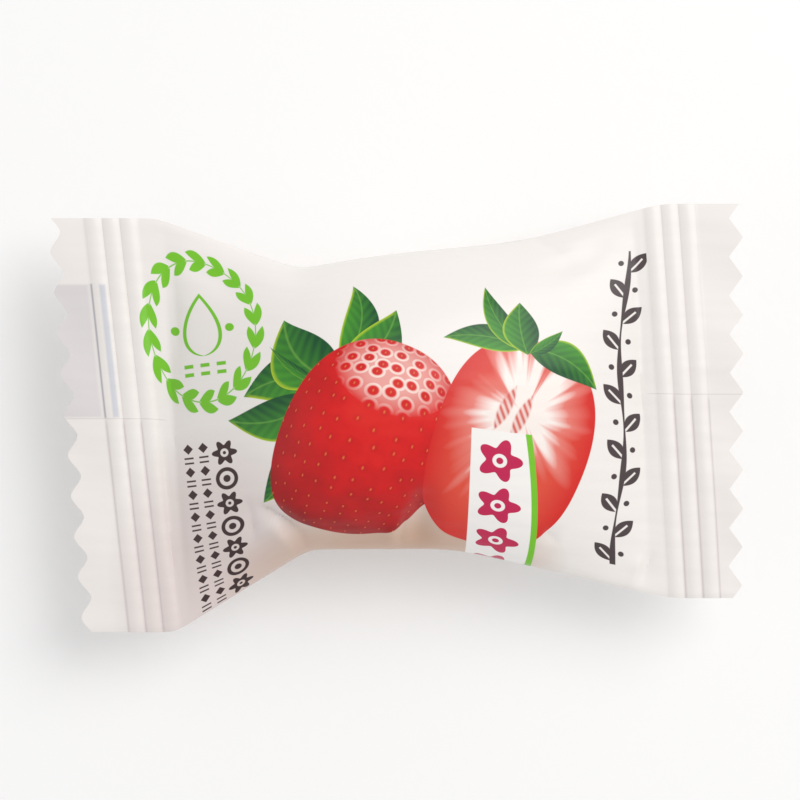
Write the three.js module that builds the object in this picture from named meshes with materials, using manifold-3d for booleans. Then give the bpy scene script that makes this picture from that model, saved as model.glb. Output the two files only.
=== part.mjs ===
// A crispy milk ball in its sealed film pack, lying on its back.
// The film is one tube of constant girth. Both ends are pressed flat, crimped across and cut to
// teeth, and the sweet inside holds the middle round, so the pack narrows there as it grows thick.
// X runs along the pack, Y across it and Z up. Millimetres.

import * as THREE from "three";
import { mergeVertices } from "three/addons/utils/BufferGeometryUtils.js";
import Module from "manifold-3d";

// Driving dimensions.
const BODY = { left: -17.5, right: 18.6 }; // the inner lines of the two crimps, at Y = 0
const CRIMP_LENGTH = 3.8; // each crimp, along the pack
const RIDGE_COUNT = 3; // ridges along each crimp
const RIDGE_HEIGHT = 0.17;
const SEAL_THICKNESS = 0.3; // both layers of film, pressed together
const LEFT_BAND = 3.05; // plain film outside the left crimp, to the tips of the teeth
const RIGHT_BAND = 2.5;
const LEFT_TOOTH_PITCH = 2.95;
const RIGHT_TOOTH_PITCH = 2.81;
const LEFT_TOOTH_DEPTH = 0.85;
const RIGHT_TOOTH_DEPTH = 1.0;
const FIRST_TOOTH = 2.48; // from the pack's upper edge to the first tip
const UNDERSIDE_SHARE = { left: 0.86, right: 0.98 }; // its depth, as a share of the upper side's rise
const SEAL_SLOPE = 0.8; // how steeply the film may leave a seal
const SHOULDER_ROUNDING = 1.5; // how softly that slope turns into the round middle
const SEAL_FADE = 1.2; // length over which the film opens from a seal
const SEAL_REACH = 9; // how far into the body the bend of a seal is felt
const LEFT_SEAL_LEAN = 0.55; // how much higher its upper edge stands than its middle
const RIGHT_SEAL_ARCH = 0.7;
const EDGE_WAVE = { height: 0.22, count: 9 }; // soft waves along the toothed edges, count in radians
const FIN_WIDTH = 9.6; // lengthwise seal, folded flat on the underside
const FIN_ROOT = 0.5; // from the underside's middle line to the fold of that seal
const FIN_THICKNESS = 0.22;
const REST_DEPTH = 0.4; // how far the round underside is pressed flat where it lies

// The lean of the lines across the pack, as the change of X for each millimetre of Y.
const LEFT_CRIMP_LEAN = -0.105;
const RIGHT_CRIMP_LEAN = -0.065;
const LEFT_CUT_LEAN = -0.08;
const RIGHT_CUT_LEAN = 0.0;

// The edges of the flat film at the two seals, which the plan follows until the film necks in.
const LEFT_EDGES = { upper: 14.5, lower: -15.6 };
const RIGHT_EDGES = { upper: 15.6, lower: -13.1 };
const CORNER_ROUNDING = 0.12;

// The straight stretches of each long side, as the height at X = 0 and the slope. Film that is
// pulled over the sweet runs straight from the left corner to the waist, along the sweet, and on
// to the right corner. The upper side has one more short rise, onto the sweet.
const UPPER_SIDE = {
  leftToWaist: [8.15, -0.36],
  ontoSweet: [12.3, 0.2],
  alongSweet: [12.08, 0.075],
  waistToRight: [10.3, 0.28],
  rounding: 0.28,
};
const LOWER_SIDE = {
  leftToWaist: [-5.45, 0.62],
  alongSweet: [-9.5, 0.005],
  waistToRight: [-8.55, -0.232],
  rounding: 0.22,
};
const HEIGHT_SOFTNESS = 6; // how much softer the bends are for the height than for the plan

// The folds in the film: where each starts and ends, its half width and its depth, below zero for
// a ridge. side is 1 on the upper film and -1 on the underside.
const FOLDS = [
  { side: 1, from: [1.3, -10.2], to: [1.9, -4.3], width: 1.0, depth: 0.8 },
  { side: 1, from: [-0.7, -10.2], to: [-0.5, -7.0], width: 0.7, depth: -0.35 },
  { side: 1, from: [-10.2, -6.2], to: [-6.4, -8.8], width: 0.8, depth: 0.45 },
  { side: 1, from: [-15.6, 11.6], to: [-11.0, 8.8], width: 0.9, depth: 0.25 },
  { side: 1, from: [15.4, 12.6], to: [10.0, 10.2], width: 1.0, depth: 0.25 },
  { side: -1, from: [-14.8, -10.8], to: [-8.4, -7.2], width: 1.0, depth: 0.4 },
  { side: -1, from: [-14.8, 11.0], to: [-9.0, 9.2], width: 0.9, depth: 0.35 },
  { side: -1, from: [15.0, -9.8], to: [9.0, -7.0], width: 1.0, depth: 0.4 },
  { side: -1, from: [14.8, 12.2], to: [8.6, 10.8], width: 0.9, depth: 0.35 },
];

// The grid of film squares.
const STEPS_ACROSS = 32;
const STEPS_PER_RIDGE = 4;
const STEPS_ALONG_BODY = 36;
const FIN_STEPS = 8;
const BAND_STEP = 1.2; // from the tips of the teeth to the nearest line of the grid

// The tools that shape the pack, all larger than it.
const KNIFE = { reach: 22, width: 8, height: 20, sparePitches: 2 };
const TABLE = { length: 80, width: 60, height: 20 };

const BODY_LENGTH = BODY.right - BODY.left;
const LEFT_TIPS = BODY.left - CRIMP_LENGTH - LEFT_BAND;
const RIGHT_TIPS = BODY.right + CRIMP_LENGTH + RIGHT_BAND;
const SPARE = 1.5; // film beyond the tips, which the knives take off
const SECTION_POWER = Math.log(2) / Math.log(Math.PI / 2); // the girth rule of the oval section

// The section's height falls off from its middle as a power of 1 - across². It is a lens with sharp
// edges near the seals, and an oval once the pack is three quarters as thick as it is wide.
const LENS_POWER = 1;
const OVAL_POWER = 0.5;
const OVAL_FROM = 0.75;

const wasm = await Module();
wasm.setup();

const mix = THREE.MathUtils.lerp;
const ease = THREE.MathUtils.smoothstep;

// The share of the way along the body, and the way past its nearer end, below zero inside it.
const shareAlong = (x) => THREE.MathUtils.clamp((x - BODY.left) / BODY_LENGTH, 0, 1);
const pastBody = (x) => Math.max(BODY.left - x, x - BODY.right);

// The largest of several values, with the corner between them rounded.
function softMax(values, rounding) {
  const largest = Math.max(...values);
  const sum = values.reduce((total, value) => total + Math.exp((value - largest) / rounding), 0);
  return largest + rounding * Math.log(sum);
}

function softMin(values, rounding) {
  return -softMax(values.map((value) => -value), rounding);
}

const heightOn = ([height, slope], x) => height + slope * x;

// The long sides at x, as the pull of the sweet alone would set them.
function stretchedUpper(x, softness) {
  const { leftToWaist, ontoSweet, alongSweet, waistToRight, rounding } = UPPER_SIDE;
  const sweet = softMin([heightOn(ontoSweet, x), heightOn(alongSweet, x)], rounding);
  return softMax([heightOn(leftToWaist, x), sweet, heightOn(waistToRight, x)], rounding * softness);
}

function stretchedLower(x, softness) {
  const { leftToWaist, alongSweet, waistToRight, rounding } = LOWER_SIDE;
  const lines = [leftToWaist, alongSweet, waistToRight];
  return softMin(lines.map((line) => heightOn(line, x)), rounding * softness);
}

// The plan of the pack at x: the middle line, the half width and a quarter of the film's girth.
// A softness above 1 widens the bends between the stretches.
function planAt(x, softness = 1) {
  const along = shareAlong(x);
  const flatUpper = mix(LEFT_EDGES.upper, RIGHT_EDGES.upper, along);
  const flatLower = mix(LEFT_EDGES.lower, RIGHT_EDGES.lower, along);
  const upper = softMin([flatUpper, stretchedUpper(x, softness)], CORNER_ROUNDING);
  const lower = softMax([flatLower, stretchedLower(x, softness)], CORNER_ROUNDING);
  return {
    middle: (upper + lower) / 2,
    half: (upper - lower) / 2,
    quarterGirth: (flatUpper - flatLower) / 2,
  };
}

// Half the thickness of the pack. An oval of constant girth grows thicker as it narrows.
function riseAt(station, x) {
  const plan = planAt(x, HEIGHT_SOFTNESS);
  const spare = plan.quarterGirth ** SECTION_POWER - plan.half ** SECTION_POWER;
  const byGirth = Math.max(spare, 0) ** (1 / SECTION_POWER);
  const fromSeal = Math.max(-pastBody(station), 0);
  const bySlope = SEAL_SLOPE * fromSeal;
  const rise = Math.max(softMin([byGirth, bySlope], SHOULDER_ROUNDING), 0);
  return rise * ease(fromSeal, 0, SEAL_FADE);
}

function leanAt(station) {
  const crimps = mix(LEFT_CRIMP_LEAN, RIGHT_CRIMP_LEAN, ease(station, BODY.left, BODY.right));
  const left = mix(LEFT_CUT_LEAN, crimps, ease(station, LEFT_TIPS, BODY.left - CRIMP_LENGTH));
  return mix(left, RIGHT_CUT_LEAN, ease(station, BODY.right + CRIMP_LENGTH, RIGHT_TIPS));
}

// Round ridges with a sharp groove between them, across both crimps.
function crimpAt(station) {
  const intoCrimp = THREE.MathUtils.clamp(pastBody(station) / CRIMP_LENGTH, 0, 1);
  return RIDGE_HEIGHT * Math.abs(Math.sin(Math.PI * RIDGE_COUNT * intoCrimp));
}

// The seals aren't quite flat: the left one leans and the right one is a shallow arch.
function sealLift(station, across) {
  const towardsTips = ease(pastBody(station), -SEAL_REACH, CRIMP_LENGTH);
  const bend = station < 0 ? LEFT_SEAL_LEAN * across : RIGHT_SEAL_ARCH * (0.5 - across * across);
  const waves = ease(pastBody(station), CRIMP_LENGTH - 1, CRIMP_LENGTH + RIGHT_BAND);
  return towardsTips * bend + waves * EDGE_WAVE.height * Math.sin(EDGE_WAVE.count * across);
}

// A point of the film. across runs from -1 to 1 round half the tube, in even steps of film.
function filmPoint(station, across, side) {
  const roughY = across * planAt(station).half;
  const x = station + leanAt(station) * roughY;
  const plan = planAt(x);
  const rise = riseAt(station, x);
  const roundness = Math.min(rise / plan.half, 1);
  const overY = mix(across, Math.sin((Math.PI / 2) * across), roundness);
  const sharpness = mix(LENS_POWER, OVAL_POWER, ease(roundness, 0, OVAL_FROM));
  const dome = rise * Math.max(1 - overY * overY, 0) ** sharpness;
  const underside = mix(UNDERSIDE_SHARE.left, UNDERSIDE_SHARE.right, shareAlong(station));
  const share = side > 0 ? 1 : underside;
  const z = side * (dome * share + SEAL_THICKNESS / 2) + crimpAt(station) + sealLift(station, overY);
  return new THREE.Vector3(x, plan.middle + plan.half * overY, z);
}

function filmNormal(station, across, side) {
  const reach = 0.02;
  const innermost = 0.97; // the slope is taken a little inside the pack's edge
  const inner = THREE.MathUtils.clamp(across, -innermost, innermost);
  const alongX = filmPoint(station + reach, inner, side).sub(filmPoint(station - reach, inner, side));
  const alongY = filmPoint(station, inner + reach, side).sub(filmPoint(station, inner - reach, side));
  return alongX.cross(alongY).multiplyScalar(side).normalize();
}

// How deep the folds press the film in at a point. They fade out towards the pack's long sides.
function foldDepth(point, across, side) {
  const place = new THREE.Vector2(point.x, point.y);
  const fade = 1 - across ** 8;
  let depth = 0;
  for (const fold of FOLDS.filter((each) => each.side === side)) {
    const start = new THREE.Vector2(...fold.from);
    const run = new THREE.Vector2(...fold.to).sub(start);
    const toPlace = place.clone().sub(start);
    const share = toPlace.dot(run) / run.lengthSq();
    const away = Math.abs(toPlace.cross(run)) / run.length() / fold.width;
    const taper = ease(share, -0.15, 0.3) * (1 - ease(share, 0.55, 1.1));
    depth += fold.depth * fade * taper * Math.exp(-away * away);
  }
  return depth;
}

function foldedPoint(station, across, side) {
  const point = filmPoint(station, across, side);
  const normal = filmNormal(station, across, side);
  return point.addScaledVector(normal, -foldDepth(point, across, side));
}

// The stations along the pack where the film grid has its lines.
function stations() {
  const marks = [LEFT_TIPS - SPARE, LEFT_TIPS + BAND_STEP];
  const crimpSteps = RIDGE_COUNT * STEPS_PER_RIDGE;
  const addSteps = (start, length, count) => {
    for (let i = 0; i < count; i++) marks.push(start + (length * i) / count);
  };
  addSteps(BODY.left - CRIMP_LENGTH, CRIMP_LENGTH, crimpSteps);
  addSteps(BODY.left, BODY_LENGTH, STEPS_ALONG_BODY);
  addSteps(BODY.right, CRIMP_LENGTH, crimpSteps);
  marks.push(BODY.right + CRIMP_LENGTH, RIGHT_TIPS - BAND_STEP, RIGHT_TIPS + SPARE);
  return marks;
}

// A box of film squares, bent to the shape that place(station, share across, top or bottom) gives.
function bentBox(marks, stepsAcross, place) {
  const steps = marks.length - 1;
  const box = new THREE.BoxGeometry(steps, 2, 2, steps, stepsAcross, 1);
  const corners = box.getAttribute("position");
  for (let i = 0; i < corners.count; i++) {
    const station = marks[Math.round(corners.getX(i) + steps / 2)];
    const made = place(station, corners.getY(i), Math.sign(corners.getZ(i)));
    corners.setXYZ(i, made.x, made.y, made.z);
  }
  return solidFrom(box);
}

function solidFrom(geometry) {
  geometry.deleteAttribute("normal");
  geometry.deleteAttribute("uv");
  const merged = mergeVertices(geometry, 1e-5);
  return new wasm.Manifold(
    new wasm.Mesh({
      numProp: 3,
      vertProperties: merged.getAttribute("position").array,
      triVerts: Uint32Array.from(merged.index.array),
    }),
  );
}

// The lengthwise seal on the underside, folded flat towards +Y.
function backFin(marks) {
  const rootShare = FIN_ROOT / planAt(0).quarterGirth;
  const edgeShare = (FIN_ROOT + FIN_WIDTH) / planAt(0).quarterGirth;
  return bentBox(marks, FIN_STEPS, (station, across, face) => {
    const share = mix(rootShare, edgeShare, (across + 1) / 2);
    const normal = filmNormal(station, share, -1);
    const point = foldedPoint(station, share, -1);
    return point.addScaledVector(normal, face < 0 ? FIN_THICKNESS : -SEAL_THICKNESS / 2);
  });
}

// A toothed knife that takes off everything beyond one end. outward is -1 at the left end.
function knife({ tips, pitch, depth, lean, firstTip, outward }) {
  const line = (y) => tips + lean * y;
  const outline = new THREE.Shape();
  outline.moveTo(line(KNIFE.reach) + outward * KNIFE.width, KNIFE.reach);
  for (let y = firstTip + KNIFE.sparePitches * pitch; y > -KNIFE.reach; y -= pitch) {
    const valley = y - pitch / 2;
    outline.lineTo(line(y), y);
    outline.lineTo(line(valley) - outward * depth, valley);
  }
  outline.lineTo(line(-KNIFE.reach) + outward * KNIFE.width, -KNIFE.reach - pitch);
  const blade = new THREE.ExtrudeGeometry(outline, { depth: KNIFE.height, bevelEnabled: false });
  blade.translate(0, 0, -KNIFE.height / 2);
  return solidFrom(blade);
}

const leftKnife = () =>
  knife({
    tips: LEFT_TIPS,
    pitch: LEFT_TOOTH_PITCH,
    depth: LEFT_TOOTH_DEPTH,
    lean: LEFT_CUT_LEAN,
    firstTip: LEFT_EDGES.upper - FIRST_TOOTH,
    outward: -1,
  });

const rightKnife = () =>
  knife({
    tips: RIGHT_TIPS,
    pitch: RIGHT_TOOTH_PITCH,
    depth: RIGHT_TOOTH_DEPTH,
    lean: RIGHT_CUT_LEAN,
    firstTip: RIGHT_EDGES.upper - FIRST_TOOTH,
    outward: 1,
  });

function lowestPoint(solid) {
  return solid.boundingBox().min[2];
}

// Everything below the height where the pack is pressed flat by lying down.
function restingPlane(height) {
  const slab = new THREE.BoxGeometry(TABLE.length, TABLE.width, TABLE.height);
  slab.translate(0, 0, height - TABLE.height / 2);
  return solidFrom(slab);
}

function packSolid() {
  const marks = stations();
  const film = bentBox(marks, STEPS_ACROSS, foldedPoint).add(backFin(marks));
  const restHeight = lowestPoint(film) + REST_DEPTH;
  const cut = film
    .subtract(leftKnife())
    .subtract(rightKnife())
    .subtract(restingPlane(restHeight));
  return cut.decompose().reduce((a, b) => (a.volume() > b.volume() ? a : b));
}

// The solid as a mesh, with the middle of its underside at the origin.
function packMesh() {
  const made = packSolid().getMesh();
  const geometry = new THREE.BufferGeometry();
  geometry.setAttribute("position", new THREE.BufferAttribute(made.vertProperties, 3));
  geometry.setIndex(new THREE.BufferAttribute(made.triVerts, 1));
  geometry.computeBoundingBox();
  const middle = geometry.boundingBox.getCenter(new THREE.Vector3());
  geometry.translate(-middle.x, -middle.y, -geometry.boundingBox.min.z);
  geometry.computeVertexNormals();
  const film = new THREE.MeshStandardMaterial({ color: 0xf1ece7, roughness: 0.38, metalness: 0 });
  const mesh = new THREE.Mesh(geometry, film);
  mesh.name = "candy_pack";
  return mesh;
}

const group = new THREE.Group();
group.add(packMesh());

export default group;
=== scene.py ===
# %% [markdown]
# # A wrapped candy ball
#
# The object is one small sweet in a sealed pack of white pearly film. The pack was made on a
# machine that folds a flat web of film round the sweets, welds its two long edges together under
# them, and then crimps and cuts the tube between one sweet and the next. This notebook follows
# the same order: a flat sheet, a tube, two crimped ends, toothed cuts, and last the print.
#
# The CAD frame comes first. It says how large the pack is and where it lies, and everything
# below fits itself to that.

# %% The frame
import math

import bmesh
import bpy
import numpy as np
from mathutils import Matrix, Vector


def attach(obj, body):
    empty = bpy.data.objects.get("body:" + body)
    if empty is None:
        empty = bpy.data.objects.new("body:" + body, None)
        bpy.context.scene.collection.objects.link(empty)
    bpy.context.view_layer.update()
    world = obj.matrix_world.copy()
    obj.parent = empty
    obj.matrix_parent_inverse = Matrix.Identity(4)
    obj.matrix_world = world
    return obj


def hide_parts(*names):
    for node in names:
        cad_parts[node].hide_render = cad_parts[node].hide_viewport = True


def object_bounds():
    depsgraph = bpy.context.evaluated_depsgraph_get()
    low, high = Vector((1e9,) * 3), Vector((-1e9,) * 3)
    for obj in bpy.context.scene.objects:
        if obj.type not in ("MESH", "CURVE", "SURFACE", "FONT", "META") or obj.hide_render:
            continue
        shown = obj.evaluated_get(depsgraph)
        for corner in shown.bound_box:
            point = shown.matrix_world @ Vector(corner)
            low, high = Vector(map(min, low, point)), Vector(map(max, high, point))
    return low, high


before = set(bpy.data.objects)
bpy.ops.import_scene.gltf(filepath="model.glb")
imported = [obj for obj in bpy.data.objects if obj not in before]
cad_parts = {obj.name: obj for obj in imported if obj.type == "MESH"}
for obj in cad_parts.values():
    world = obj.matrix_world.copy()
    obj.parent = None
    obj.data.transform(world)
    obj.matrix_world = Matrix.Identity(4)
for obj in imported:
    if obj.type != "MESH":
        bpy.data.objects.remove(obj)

cad_low, cad_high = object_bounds()
print("CAD box in mm:", [round(v * 1000, 2) for v in (*cad_low, *cad_high)])

# %% [markdown]
# The film is thin, and all its sizes are a few millimetres, so they are written in millimetres
# and turned to metres when vertices are placed. The names are those of a real pack: a body, a
# crimp at each end, a plain band outside the crimp, and teeth along the cut.

# %% Sizes of the pack
MM = 0.001
BODY = (-17.5, 18.6)            # the inner lines of the two crimps
CRIMP_LENGTH = 3.8
RIDGE_COUNT = 3
RIDGE_HEIGHT = 0.17
LEFT_BAND, RIGHT_BAND = 3.05, 2.5
SPARE = 1.5                     # film beyond the teeth, which the knives take off
LEFT_TIPS = BODY[0] - CRIMP_LENGTH - LEFT_BAND
RIGHT_TIPS = BODY[1] + CRIMP_LENGTH + RIGHT_BAND
SEAL_THICKNESS = 0.14           # both layers of film, welded together
LEFT_EDGES = (14.5, -15.6)      # upper and lower edge of the flat film at each end
RIGHT_EDGES = (15.6, -13.1)
FLAT_HALF = 14.7                # half the width of the flattened tube, on average
print("length over the teeth:", round(RIGHT_TIPS - LEFT_TIPS, 2), "mm")

# %% [markdown]
# A sheet of film is a grid. Film squares of about a fifth of a millimetre are small enough for
# the grooves of the crimp, where the lines of the grid stand closest together. The sheet's own
# flat coordinates are kept, because they are also the print's coordinates: `station` runs along
# the pack and `around` runs round the tube, from the middle of the front.

# %% A flat sheet of film
CRIMP_LINES = 42
BODY_LINES = 176
BAND_LINES = 18
AROUND_LINES = 240

def marks_between(start, end, count):
    return list(np.linspace(start, end, count, endpoint=False))

marks = marks_between(LEFT_TIPS - SPARE, BODY[0] - CRIMP_LENGTH, BAND_LINES)
marks += marks_between(BODY[0] - CRIMP_LENGTH, BODY[0], CRIMP_LINES)
marks += marks_between(*BODY, BODY_LINES)
marks += marks_between(BODY[1], BODY[1] + CRIMP_LENGTH, CRIMP_LINES)
marks += marks_between(BODY[1] + CRIMP_LENGTH, RIGHT_TIPS + SPARE, BAND_LINES)
marks = np.array(marks + [RIGHT_TIPS + SPARE])

def activate(piece):
    bpy.ops.object.select_all(action="DESELECT")
    piece.select_set(True)
    bpy.context.view_layer.objects.active = piece

def film_sheet(name, columns, rows):
    """A flat grid, one unit square, with that many squares along it and across it."""
    bpy.ops.object.select_all(action="DESELECT")
    bpy.ops.mesh.primitive_grid_add(x_subdivisions=columns, y_subdivisions=rows, size=1)
    sheet = bpy.context.active_object
    sheet.name = sheet.data.name = name
    return sheet

def corner_places(sheet):
    flat = np.empty(len(sheet.data.vertices) * 3)
    sheet.data.vertices.foreach_get("co", flat)
    return flat.reshape(-1, 3)

pack = film_sheet("film_pack", len(marks) - 1, AROUND_LINES)
grid = corner_places(pack) + 0.5
station = marks[np.rint(grid[:, 0] * (len(marks) - 1)).astype(int)]
share_round = np.rint(grid[:, 1] * AROUND_LINES) / AROUND_LINES
print(pack.name, "has", len(pack.data.polygons), "film squares")

# %% [markdown]
# Seen from above, each long side of the pack is nearly three straight lines: in from the corner
# to the waist, along the sweet, and out to the other corner. A rounded maximum joins straight
# lines the way stretched film does, with a short soft bend. The middle line and the half width
# of the plan come from the two sides.

# %% The plan of the pack
LEFT_TO_WAIST = ((8.15, -0.36), (-5.45, 0.62))      # upper and lower side: height at x = 0, slope
ALONG_SWEET = ((12.08, 0.075), (-9.5, 0.005))
WAIST_TO_RIGHT = ((10.3, 0.28), (-8.55, -0.232))
ONTO_SWEET = (12.3, 0.2)                            # a short rise on the upper side, left of the sweet
UPPER_ROUNDING, LOWER_ROUNDING, CORNER_ROUNDING = 0.28, 0.22, 0.12
HEIGHT_SOFTNESS = 6             # how much softer the bends are for the height than for the plan

def soft_max(values, rounding):
    largest = np.maximum.reduce(values)
    return largest + rounding * np.log(sum(np.exp((v - largest) / rounding) for v in values))

def soft_min(values, rounding):
    return -soft_max([-v for v in values], rounding)

def mix(a, b, share):
    return a + (b - a) * share

def ease(x, low, high):
    share = np.clip((x - low) / (high - low), 0, 1)
    return share * share * (3 - 2 * share)

def share_along(x):
    return np.clip((x - BODY[0]) / (BODY[1] - BODY[0]), 0, 1)

def past_body(x):
    return np.maximum(BODY[0] - x, x - BODY[1])

def plan_at(x, softness=1):
    """The middle line, the half width and a quarter of the girth at x."""
    flat_upper = mix(LEFT_EDGES[0], RIGHT_EDGES[0], share_along(x))
    flat_lower = mix(LEFT_EDGES[1], RIGHT_EDGES[1], share_along(x))
    left, sweet, right = [[height + slope * x for height, slope in lines]
                          for lines in (LEFT_TO_WAIST, ALONG_SWEET, WAIST_TO_RIGHT)]
    on_sweet = soft_min([sweet[0], ONTO_SWEET[0] + ONTO_SWEET[1] * x], UPPER_ROUNDING)
    upper = soft_max([left[0], on_sweet, right[0]], UPPER_ROUNDING * softness)
    lower = soft_min([left[1], sweet[1], right[1]], LOWER_ROUNDING * softness)
    upper = soft_min([flat_upper, upper], CORNER_ROUNDING)
    lower = soft_max([flat_lower, lower], CORNER_ROUNDING)
    return (upper + lower) / 2, (upper - lower) / 2, (flat_upper - flat_lower) / 2

waist = min(plan_at(x)[1] for x in np.linspace(*BODY, 200))
print("narrowest width:", round(2 * waist, 2), "mm")

# %% [markdown]
# Film doesn't stretch, so the tube has the same girth everywhere, and where the plan is narrow
# the pack must be thick. The section changes from a flat lens at the seals to an oval round the
# sweet. The lines that run across the pack lean a little, as a real pack is rarely square.

# %% The film as a surface
SECTION_POWER = math.log(2) / math.log(math.pi / 2)   # the girth rule of an oval section
SEAL_SLOPE, SHOULDER_ROUNDING = 0.8, 1.5
UNDERSIDE_SHARE = (0.86, 0.98)
LEFT_CRIMP_LEAN, RIGHT_CRIMP_LEAN = -0.105, -0.065
LEFT_CUT_LEAN, RIGHT_CUT_LEAN = -0.08, 0.0
SEAL_REACH, LEFT_SEAL_LEAN, RIGHT_SEAL_ARCH = 9, 0.55, 0.7
EDGE_WAVE, EDGE_WAVE_TURNS = 0.22, 9    # soft waves along the toothed edges, in mm and radians
LIFT_OFF = 1.2                  # the length past a seal in which the two films part, in mm
LENS_POWER, OVAL_POWER, OVAL_FROM = 1, 0.5, 0.75        # the section's shape, and how round is round
ROUND_EDGE = 0.02               # the share of the half width over which the welded edge is rounded

def rise_at(s, half, quarter_girth):
    spare = quarter_girth ** SECTION_POWER - half ** SECTION_POWER
    by_girth = np.maximum(spare, 0) ** (1 / SECTION_POWER)
    from_seal = np.maximum(-past_body(s), 0)
    rise = soft_min([by_girth, SEAL_SLOPE * from_seal], SHOULDER_ROUNDING)
    return np.maximum(rise, 0) * ease(from_seal, 0, LIFT_OFF)

def lean_at(s):
    crimps = mix(LEFT_CRIMP_LEAN, RIGHT_CRIMP_LEAN, ease(s, *BODY))
    left = mix(LEFT_CUT_LEAN, crimps, ease(s, LEFT_TIPS, BODY[0] - CRIMP_LENGTH))
    return mix(left, RIGHT_CUT_LEAN, ease(s, BODY[1] + CRIMP_LENGTH, RIGHT_TIPS))

def crimp_at(s):
    """Round ridges with a sharp groove between them, across both crimps."""
    into = np.clip(past_body(s) / CRIMP_LENGTH, 0, 1)
    return RIDGE_HEIGHT * np.abs(np.sin(math.pi * RIDGE_COUNT * into))

def seal_lift(s, over_y):
    towards_tips = ease(past_body(s), -SEAL_REACH, CRIMP_LENGTH)
    bend = np.where(s < 0, LEFT_SEAL_LEAN * over_y, RIGHT_SEAL_ARCH * (0.5 - over_y ** 2))
    waves = ease(past_body(s), CRIMP_LENGTH - 1, CRIMP_LENGTH + RIGHT_BAND)
    return towards_tips * bend + waves * EDGE_WAVE * np.sin(EDGE_WAVE_TURNS * over_y)

def film_point(s, across, side):
    """A place on the film in mm. across runs from -1 to 1 over the front (side 1) or back (-1)."""
    x = s + lean_at(s) * across * plan_at(s)[1]
    middle, half, quarter_girth = plan_at(x)
    rise = rise_at(s, plan_at(x, HEIGHT_SOFTNESS)[1], quarter_girth)
    roundness = np.minimum(rise / half, 1)
    over_y = mix(across, np.sin(math.pi / 2 * across), roundness)
    sharpness = mix(LENS_POWER, OVAL_POWER, ease(roundness, 0, OVAL_FROM))
    dome = rise * np.maximum(1 - over_y ** 2, 0) ** sharpness
    share = np.where(side > 0, 1, mix(*UNDERSIDE_SHARE, share_along(s)))
    edge = np.sqrt(np.clip((1 - np.abs(across)) / ROUND_EDGE, 0, 1))
    z = side * (dome * share + edge * SEAL_THICKNESS / 2) + crimp_at(s) + seal_lift(s, over_y)
    return np.stack([x, middle + half * over_y, z], axis=-1)

def film_normal(s, across, side):
    reach, rim = 0.02, 0.97     # a small step, and where the side edge begins
    inner = np.clip(across, -rim, rim)
    along_x = film_point(s + reach, inner, side) - film_point(s - reach, inner, side)
    along_y = film_point(s, inner + reach, side) - film_point(s, inner - reach, side)
    normal = np.cross(along_x, along_y) * np.asarray(side)[..., None]
    return normal / np.linalg.norm(normal, axis=-1, keepdims=True)

print("height of the film's middle over the sweet:", film_point(0.0, 0.0, 1)[2].round(2), "mm")

# %% [markdown]
# The film buckles where it has to go from flat to round. Each fold is a short valley or ridge
# between two points, and it dies out towards its ends and towards the sides of the pack. The
# narrow creases beside the large folds are what makes the film look thin and stiff.

# %% Folds
FOLDS = (  # side, start, end, half width, depth in mm, below zero for a ridge
    (1, (1.3, -10.2), (1.9, -4.3), 1.0, 0.8),
    (1, (-0.7, -10.2), (-0.5, -7.0), 0.7, -0.35),
    (1, (-10.2, -6.2), (-6.4, -8.8), 0.8, 0.45),
    (1, (-15.6, 11.6), (-11.0, 8.8), 0.9, 0.25),
    (1, (15.4, 12.6), (10.0, 10.2), 1.0, 0.25),
    (-1, (-14.8, -10.8), (-8.4, -7.2), 1.0, 0.4),
    (-1, (-14.8, 11.0), (-9.0, 9.2), 0.9, 0.35),
    (-1, (15.0, -9.8), (9.0, -7.0), 1.0, 0.4),
    (-1, (14.8, 12.2), (8.6, 10.8), 0.9, 0.35),
)
CREASES = (  # narrow folds, read in the same way, with a side of 0 where both films bend together
    (1, (-0.1, -9.9), (0.5, -6.4), 0.28, 0.22),
    (1, (-10.3, -6.2), (-6.9, -8.4), 0.35, 0.4),
    (1, (-9.9, -6.6), (-7.6, -9.7), 0.6, -0.34),
    (1, (-11.0, -5.8), (-10.4, -9.2), 0.6, 0.34),
    (1, (-7.0, -8.0), (-6.7, -9.8), 0.4, 0.24),
    (1, (10.3, -8.2), (11.5, -9.0), 0.7, 0.3),
    (0, (16.5, -12.6), (17.6, -9.8), 0.35, -0.3),
    (0, (17.4, -12.4), (18.4, -9.6), 0.4, 0.35),
    (1, (9.2, 13.2), (12.6, 11.6), 0.5, 0.2),
    (0, (-17.1, -1.0), (-16.2, -14.4), 0.5, 0.22),
    (0, (-16.6, 11.5), (-16.0, 3.5), 0.5, 0.12),
    (0, (17.4, -6.0), (17.6, 9.0), 0.5, 0.12),
)

FOLD_SOFTNESS, CREASE_SOFTNESS = 2, 1.1         # 2 is a round fold and 1 a sharp one

def depth_of(folds, points, side, softness):
    """How deep these folds are at each point."""
    depth = np.zeros(len(points))
    for fold_side, start, end, width, deep in folds:
        run = np.subtract(end, start)
        to_place = points[:, :2] - start
        share = to_place @ run / (run @ run)
        away = (to_place[:, 0] * run[1] - to_place[:, 1] * run[0]) / np.hypot(*run) / width
        taper = ease(share, -0.15, 0.3) * (1 - ease(share, 0.55, 1.1))
        films = side if fold_side == 0 else side == fold_side
        depth += films * deep * taper * np.exp(-np.abs(away) ** softness)
    return depth

def fold_depth(points, across, side):
    depth = depth_of(FOLDS, points, side, FOLD_SOFTNESS)
    depth += depth_of(CREASES, points, side, CREASE_SOFTNESS)
    return depth * (1 - across ** 8)

def folded_point(s, across, side):
    points = film_point(s, across, side)
    depth = fold_depth(points, across, side)
    return points - film_normal(s, across, side) * depth[:, None]

print(len(FOLDS), "folds and", len(CREASES), "creases")

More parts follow.
